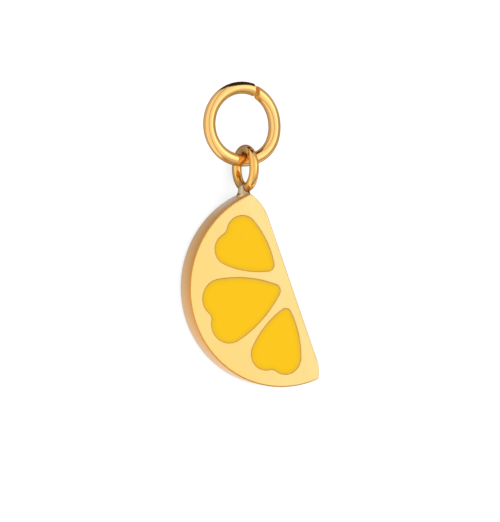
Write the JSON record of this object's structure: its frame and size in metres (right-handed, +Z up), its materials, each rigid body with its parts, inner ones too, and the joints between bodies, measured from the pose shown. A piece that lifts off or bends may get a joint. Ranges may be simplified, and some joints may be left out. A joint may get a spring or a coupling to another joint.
{
  "type": "lemon slice charm",
  "caption": "Half lemon slice jewellery charm of gold-plated metal with heart-shaped yellow enamel cells, a soldered bail and an open jump ring, lying face up.",
  "frame": {"origin": "on the surface that the charm lies on, under the middle of its box", "axes": "+Z up, out of the enamelled face; +Y from the slice towards the jump ring; +X towards the slice's straight cut"},
  "size_m": [0.0098, 0.0212, 0.0033],
  "materials": {
    "gold_face": "satin pale gold plating",
    "gold_wire": "polished gold plating",
    "enamel": "glossy yellow resin enamel"
  },
  "bodies": {
    "charm": {"plate": "gold_face", "enamel_upper": "enamel", "enamel_middle": "enamel", "enamel_lower": "enamel", "bail": "gold_wire"},
    "ring": {"jump_ring": "gold_wire"}
  },
  "joints": [
    {"name": "ring_swing", "type": "hinge", "parent": "charm", "child": "ring", "pos_m": [-0.00056, 0.0046, 0.00166], "axis": [0.9959, 0.0048, -0.0904], "range_deg": [-142, 154]}
  ]
}
